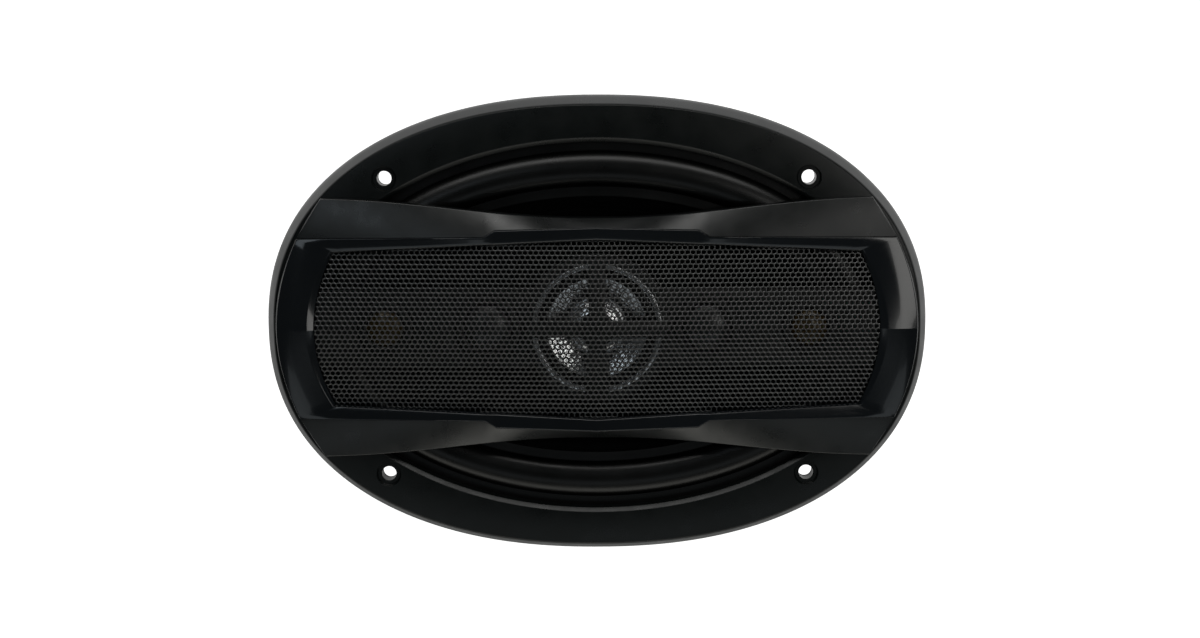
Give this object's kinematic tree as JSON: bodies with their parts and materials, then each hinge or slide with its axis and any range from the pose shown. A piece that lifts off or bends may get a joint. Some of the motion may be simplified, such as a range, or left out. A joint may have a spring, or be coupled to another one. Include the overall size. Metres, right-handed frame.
{
  "type": "coaxial car speaker",
  "caption": "Oval coaxial car speaker with a rubber-edged woofer, a bridge of small drivers behind a folded perforated grille, and a screw-mount trim ring.",
  "frame": {"origin": "on the speaker's axis, in the plane of the gasket's rear face, where it meets the panel", "axes": "+Z the way the speaker faces, +X along the oval's long axis, +Y along its short axis"},
  "size_m": [0.24, 0.167, 0.0955],
  "materials": {
    "ring_plastic": "satin black moulded plastic with a slight cool sheen",
    "foam": "closed-cell foam",
    "painted_steel": "black textured powder coat",
    "surround_rubber": "matte butyl rubber",
    "cone_paper": "black mica-filled cone",
    "cap_paper": "black pressed paper",
    "coil_former": "amber polyimide film",
    "copper_wire": "enamelled copper wire",
    "spider_cloth": "resin-dipped cotton",
    "plated_steel": "zinc-plated steel",
    "ferrite": "ground ferrite",
    "boot_rubber": "satin moulded rubber",
    "rivet_steel": "zinc-plated steel",
    "terminal_plastic": "black glass-filled plastic",
    "terminal_brass": "tinned brass",
    "tinsel": "braided copper tinsel",
    "bridge_plastic": "black moulded plastic",
    "screw_steel": "black zinc",
    "silver_cone": "vapour-coated silver film",
    "bright_ring": "chromed",
    "guard_plastic": "black gloss plastic",
    "capacitor_blue": "plain blue sleeve",
    "capacitor_red": "plain red sleeve",
    "band_plastic": "dark grey fine-textured plastic",
    "trim_gloss": "piano black",
    "mesh_steel": "black coated perforated steel",
    "silver_dome": "coated dome",
    "amber_dome": "translucent amber film"
  },
  "bodies": {
    "frame": {"trim_ring": "ring_plastic", "mounting_gasket": "foam", "basket": "painted_steel", "surround": "surround_rubber", "spider": "spider_cloth", "top_plate": "plated_steel", "magnet": "ferrite", "back_plate": "plated_steel", "magnet_boot": "boot_rubber", "plate_rivets": "rivet_steel", "terminal_block": "terminal_plastic", "terminal_positive": "terminal_brass", "terminal_negative": "terminal_brass", "terminal_rivets": "rivet_steel", "tinsel_lead_positive": "tinsel", "tinsel_lead_negative": "tinsel", "tweeter_bridge": "bridge_plastic", "bridge_screws": "screw_steel", "midrange_frame": "bridge_plastic", "midrange_surround": "surround_rubber", "midrange_plate": "plated_steel", "midrange_magnet": "ferrite", "midrange_yoke": "plated_steel", "midrange_ring": "bright_ring", "midrange_guard": "guard_plastic", "tweeter_housing_left": "bridge_plastic", "tweeter_housing_right": "bridge_plastic", "tweeter_motor_left": "plated_steel", "tweeter_motor_right": "plated_steel", "super_tweeter_housing_left": "bridge_plastic", "super_tweeter_housing_right": "bridge_plastic", "super_tweeter_motor_left": "plated_steel", "super_tweeter_motor_right": "plated_steel", "midrange_capacitor": "capacitor_blue", "tweeter_capacitor": "capacitor_red", "grille_frame": "band_plastic", "grille_trim": "trim_gloss", "grille_mesh": "mesh_steel"},
    "woofer": {"woofer_cone": "cone_paper", "dust_cap": "cap_paper", "voice_coil_former": "coil_former", "voice_coil_winding": "copper_wire"},
    "midrange": {"midrange_cone": "silver_cone", "midrange_dome": "silver_cone", "midrange_coil": "copper_wire"},
    "tweeter_left": {"tweeter_dome_left": "silver_dome"},
    "tweeter_right": {"tweeter_dome_right": "silver_dome"},
    "super_tweeter_left": {"super_tweeter_dome_left": "amber_dome"},
    "super_tweeter_right": {"super_tweeter_dome_right": "amber_dome"}
  },
  "joints": [
    {"name": "woofer_travel", "type": "slide", "parent": "frame", "child": "woofer", "axis": [0, 0, 1], "range_m": [-0.0035, 0.0035], "stiffness_N_per_m": 2600, "deforming": ["surround", "spider", "tinsel_lead_positive", "tinsel_lead_negative"]},
    {"name": "midrange_travel", "type": "slide", "parent": "frame", "child": "midrange", "axis": [0, 0, 1], "range_m": [-0.0008, 0.0008], "stiffness_N_per_m": 1800, "deforming": ["midrange_surround"]},
    {"name": "tweeter_left_travel", "type": "slide", "parent": "frame", "child": "tweeter_left", "axis": [0, 0, 1], "range_m": [-0.0002, 0.0002], "stiffness_N_per_m": 1500},
    {"name": "tweeter_right_travel", "type": "slide", "parent": "frame", "child": "tweeter_right", "axis": [0, 0, 1], "range_m": [-0.0002, 0.0002], "stiffness_N_per_m": 1500},
    {"name": "super_tweeter_left_travel", "type": "slide", "parent": "frame", "child": "super_tweeter_left", "axis": [0, 0, 1], "range_m": [-0.00015, 0.00015], "stiffness_N_per_m": 1500},
    {"name": "super_tweeter_right_travel", "type": "slide", "parent": "frame", "child": "super_tweeter_right", "axis": [0, 0, 1], "range_m": [-0.00015, 0.00015], "stiffness_N_per_m": 1500}
  ]
}
